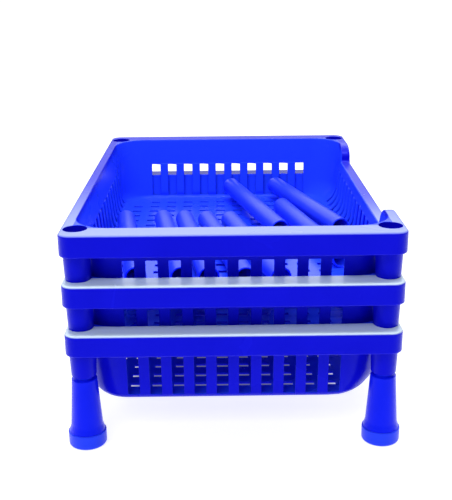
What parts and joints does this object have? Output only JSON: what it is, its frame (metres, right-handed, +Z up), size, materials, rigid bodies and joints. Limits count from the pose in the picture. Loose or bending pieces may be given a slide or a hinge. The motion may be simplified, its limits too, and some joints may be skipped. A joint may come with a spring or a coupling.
{
  "type": "stacking basket rack",
  "caption": "Knock-down rack of nested slotted plastic baskets on short flared legs with foot caps, with loose tubular posts stored in the top basket.",
  "frame": {"origin": "on the ground, under the middle of the rack's bounding box", "axes": "+X across the rack, towards the low access front; +Y along the rack, from the near end to the far end; +Z up"},
  "size_m": [0.2876, 0.41, 0.1945],
  "materials": {
    "basket_plastic": "semi-gloss moulded polypropylene, pure blue",
    "leg_plastic": "semi-gloss moulded polypropylene, pure blue",
    "cap_plastic": "semi-gloss moulded plastic, slightly lighter blue",
    "post_plastic": "satin extruded plastic tube, blue"
  },
  "bodies": {
    "bottom_tier": {"basket_bottom": "basket_plastic"},
    "middle_tier": {"basket_middle": "basket_plastic"},
    "top_tier": {"basket_top": "basket_plastic"},
    "leg_near_left": {"leg_near_left": "leg_plastic", "foot_cap_near_left": "cap_plastic"},
    "leg_near_right": {"leg_near_right": "leg_plastic", "foot_cap_near_right": "cap_plastic"},
    "leg_far_left": {"leg_far_left": "leg_plastic", "foot_cap_far_left": "cap_plastic"},
    "leg_far_right": {"leg_far_right": "leg_plastic", "foot_cap_far_right": "cap_plastic"},
    "post_1": {"post_1": "post_plastic"},
    "post_2": {"post_2": "post_plastic"},
    "post_3": {"post_3": "post_plastic"},
    "post_4": {"post_4": "post_plastic"},
    "post_5": {"post_5": "post_plastic"},
    "post_6": {"post_6": "post_plastic"},
    "post_7": {"post_7": "post_plastic"},
    "post_8": {"post_8": "post_plastic"}
  },
  "joints": [
    {"name": "middle_tier_lift", "type": "slide", "parent": "bottom_tier", "child": "middle_tier", "axis": [0, 0, 1], "range_m": [0, 0.19]},
    {"name": "top_tier_lift", "type": "slide", "parent": "middle_tier", "child": "top_tier", "axis": [0, 0, 1], "range_m": [0, 0.19]},
    {"name": "leg_near_left_pull", "type": "slide", "parent": "bottom_tier", "child": "leg_near_left", "axis": [0, 0, -1], "range_m": [0, 0.024]},
    {"name": "leg_near_right_pull", "type": "slide", "parent": "bottom_tier", "child": "leg_near_right", "axis": [0, 0, -1], "range_m": [0, 0.024]},
    {"name": "leg_far_left_pull", "type": "slide", "parent": "bottom_tier", "child": "leg_far_left", "axis": [0, 0, -1], "range_m": [0, 0.024]},
    {"name": "leg_far_right_pull", "type": "slide", "parent": "bottom_tier", "child": "leg_far_right", "axis": [0, 0, -1], "range_m": [0, 0.024]},
    {"name": "post_1_lift", "type": "slide", "parent": "top_tier", "child": "post_1", "axis": [0, 0, 1], "range_m": [0, 0.08]},
    {"name": "post_2_lift", "type": "slide", "parent": "top_tier", "child": "post_2", "axis": [0, 0, 1], "range_m": [0, 0.08]},
    {"name": "post_3_lift", "type": "slide", "parent": "top_tier", "child": "post_3", "axis": [0, 0, 1], "range_m": [0, 0.08]},
    {"name": "post_4_lift", "type": "slide", "parent": "top_tier", "child": "post_4", "axis": [0, 0, 1], "range_m": [0, 0.08]},
    {"name": "post_5_lift", "type": "slide", "parent": "top_tier", "child": "post_5", "axis": [0, 0, 1], "range_m": [0, 0.08]},
    {"name": "post_6_lift", "type": "slide", "parent": "top_tier", "child": "post_6", "axis": [0, 0, 1], "range_m": [0, 0.08]},
    {"name": "post_7_lift", "type": "slide", "parent": "top_tier", "child": "post_7", "axis": [0, 0, 1], "range_m": [0, 0.08]},
    {"name": "post_8_lift", "type": "slide", "parent": "top_tier", "child": "post_8", "axis": [0, 0, 1], "range_m": [0, 0.08]}
  ]
}
